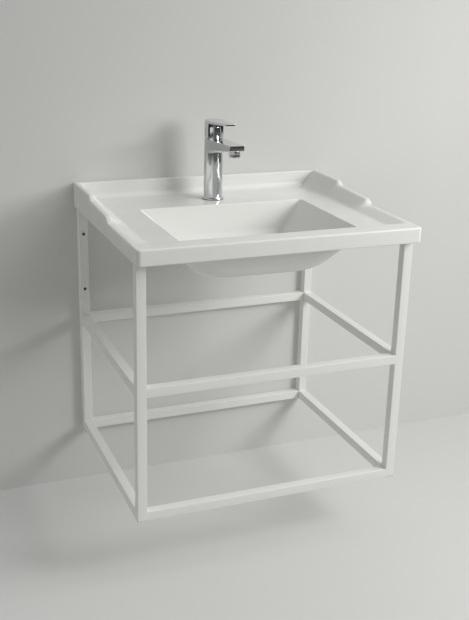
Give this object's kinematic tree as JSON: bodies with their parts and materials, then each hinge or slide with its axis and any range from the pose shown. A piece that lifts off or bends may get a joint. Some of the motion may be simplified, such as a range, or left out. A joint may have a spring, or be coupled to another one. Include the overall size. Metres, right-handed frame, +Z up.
{
  "type": "wall-hung washstand",
  "caption": "Wall-hung washstand: glazed rectangular basin with stepped side rims on an open white square-tube frame, with a chrome single-lever tap and press-to-open waste.",
  "frame": {"origin": "middle of the four wall screw holes, on the wall's face", "axes": "+X to the user's right, +Y into the wall, +Z up; the user stands at negative Y"},
  "size_m": [0.6, 0.494, 0.7465],
  "materials": {
    "frame_white": "smooth satin powder coat",
    "basin_white": "white gloss glaze",
    "chrome": "polished chrome plate",
    "plug_white": "moulded, satin",
    "plastic": "moulded, satin",
    "rubber": "matt",
    "steel": "turned, bright",
    "brass": "turned, bare"
  },
  "bodies": {
    "stand": {"post_front_left": "frame_white", "post_front_right": "frame_white", "post_rear_left": "frame_white", "post_rear_right": "frame_white", "mid_rail_front": "frame_white", "mid_rail_rear": "frame_white", "mid_rail_left": "frame_white", "mid_rail_right": "frame_white", "bottom_rail_front": "frame_white", "bottom_rail_rear": "frame_white", "bottom_rail_left": "frame_white", "bottom_rail_right": "frame_white", "post_foot_plugs": "plug_white", "post_head_plugs": "plug_white", "basin_pads": "rubber", "basin": "basin_white", "tap_body": "chrome", "tap_base_ring": "chrome", "tap_base_gasket": "rubber", "tap_stud": "steel", "tap_rubber_washer": "rubber", "tap_steel_washer": "steel", "tap_stud_nut": "brass", "aerator_housing": "chrome", "aerator_insert": "plastic", "cartridge": "plastic", "cartridge_nut": "brass", "tap_shroud": "chrome", "waste_body": "chrome", "waste_upper_seal": "rubber", "waste_lower_seal": "rubber", "waste_back_nut": "brass", "plug_guide": "plastic"},
    "lever_turn": {"lever_yoke": "plastic"},
    "lever": {"lever": "chrome", "lever_stem": "steel", "stem_pin": "steel", "lever_grub_screw": "steel", "lever_cap": "plastic"},
    "plug": {"waste_plug": "chrome"}
  },
  "joints": [
    {"name": "lever_swivel", "type": "hinge", "parent": "stand", "child": "lever_turn", "pos_m": [0, -0.086, 0.2915], "axis": [0, 0, 1], "range_deg": [-45, 45]},
    {"name": "lever_lift", "type": "hinge", "parent": "lever_turn", "child": "lever", "pos_m": [0, -0.086, 0.2915], "axis": [-1, 0, 0], "range_deg": [0, 22]},
    {"name": "plug_travel", "type": "slide", "parent": "stand", "child": "plug", "axis": [0, 0, 1], "range_m": [0, 0.008]}
  ]
}
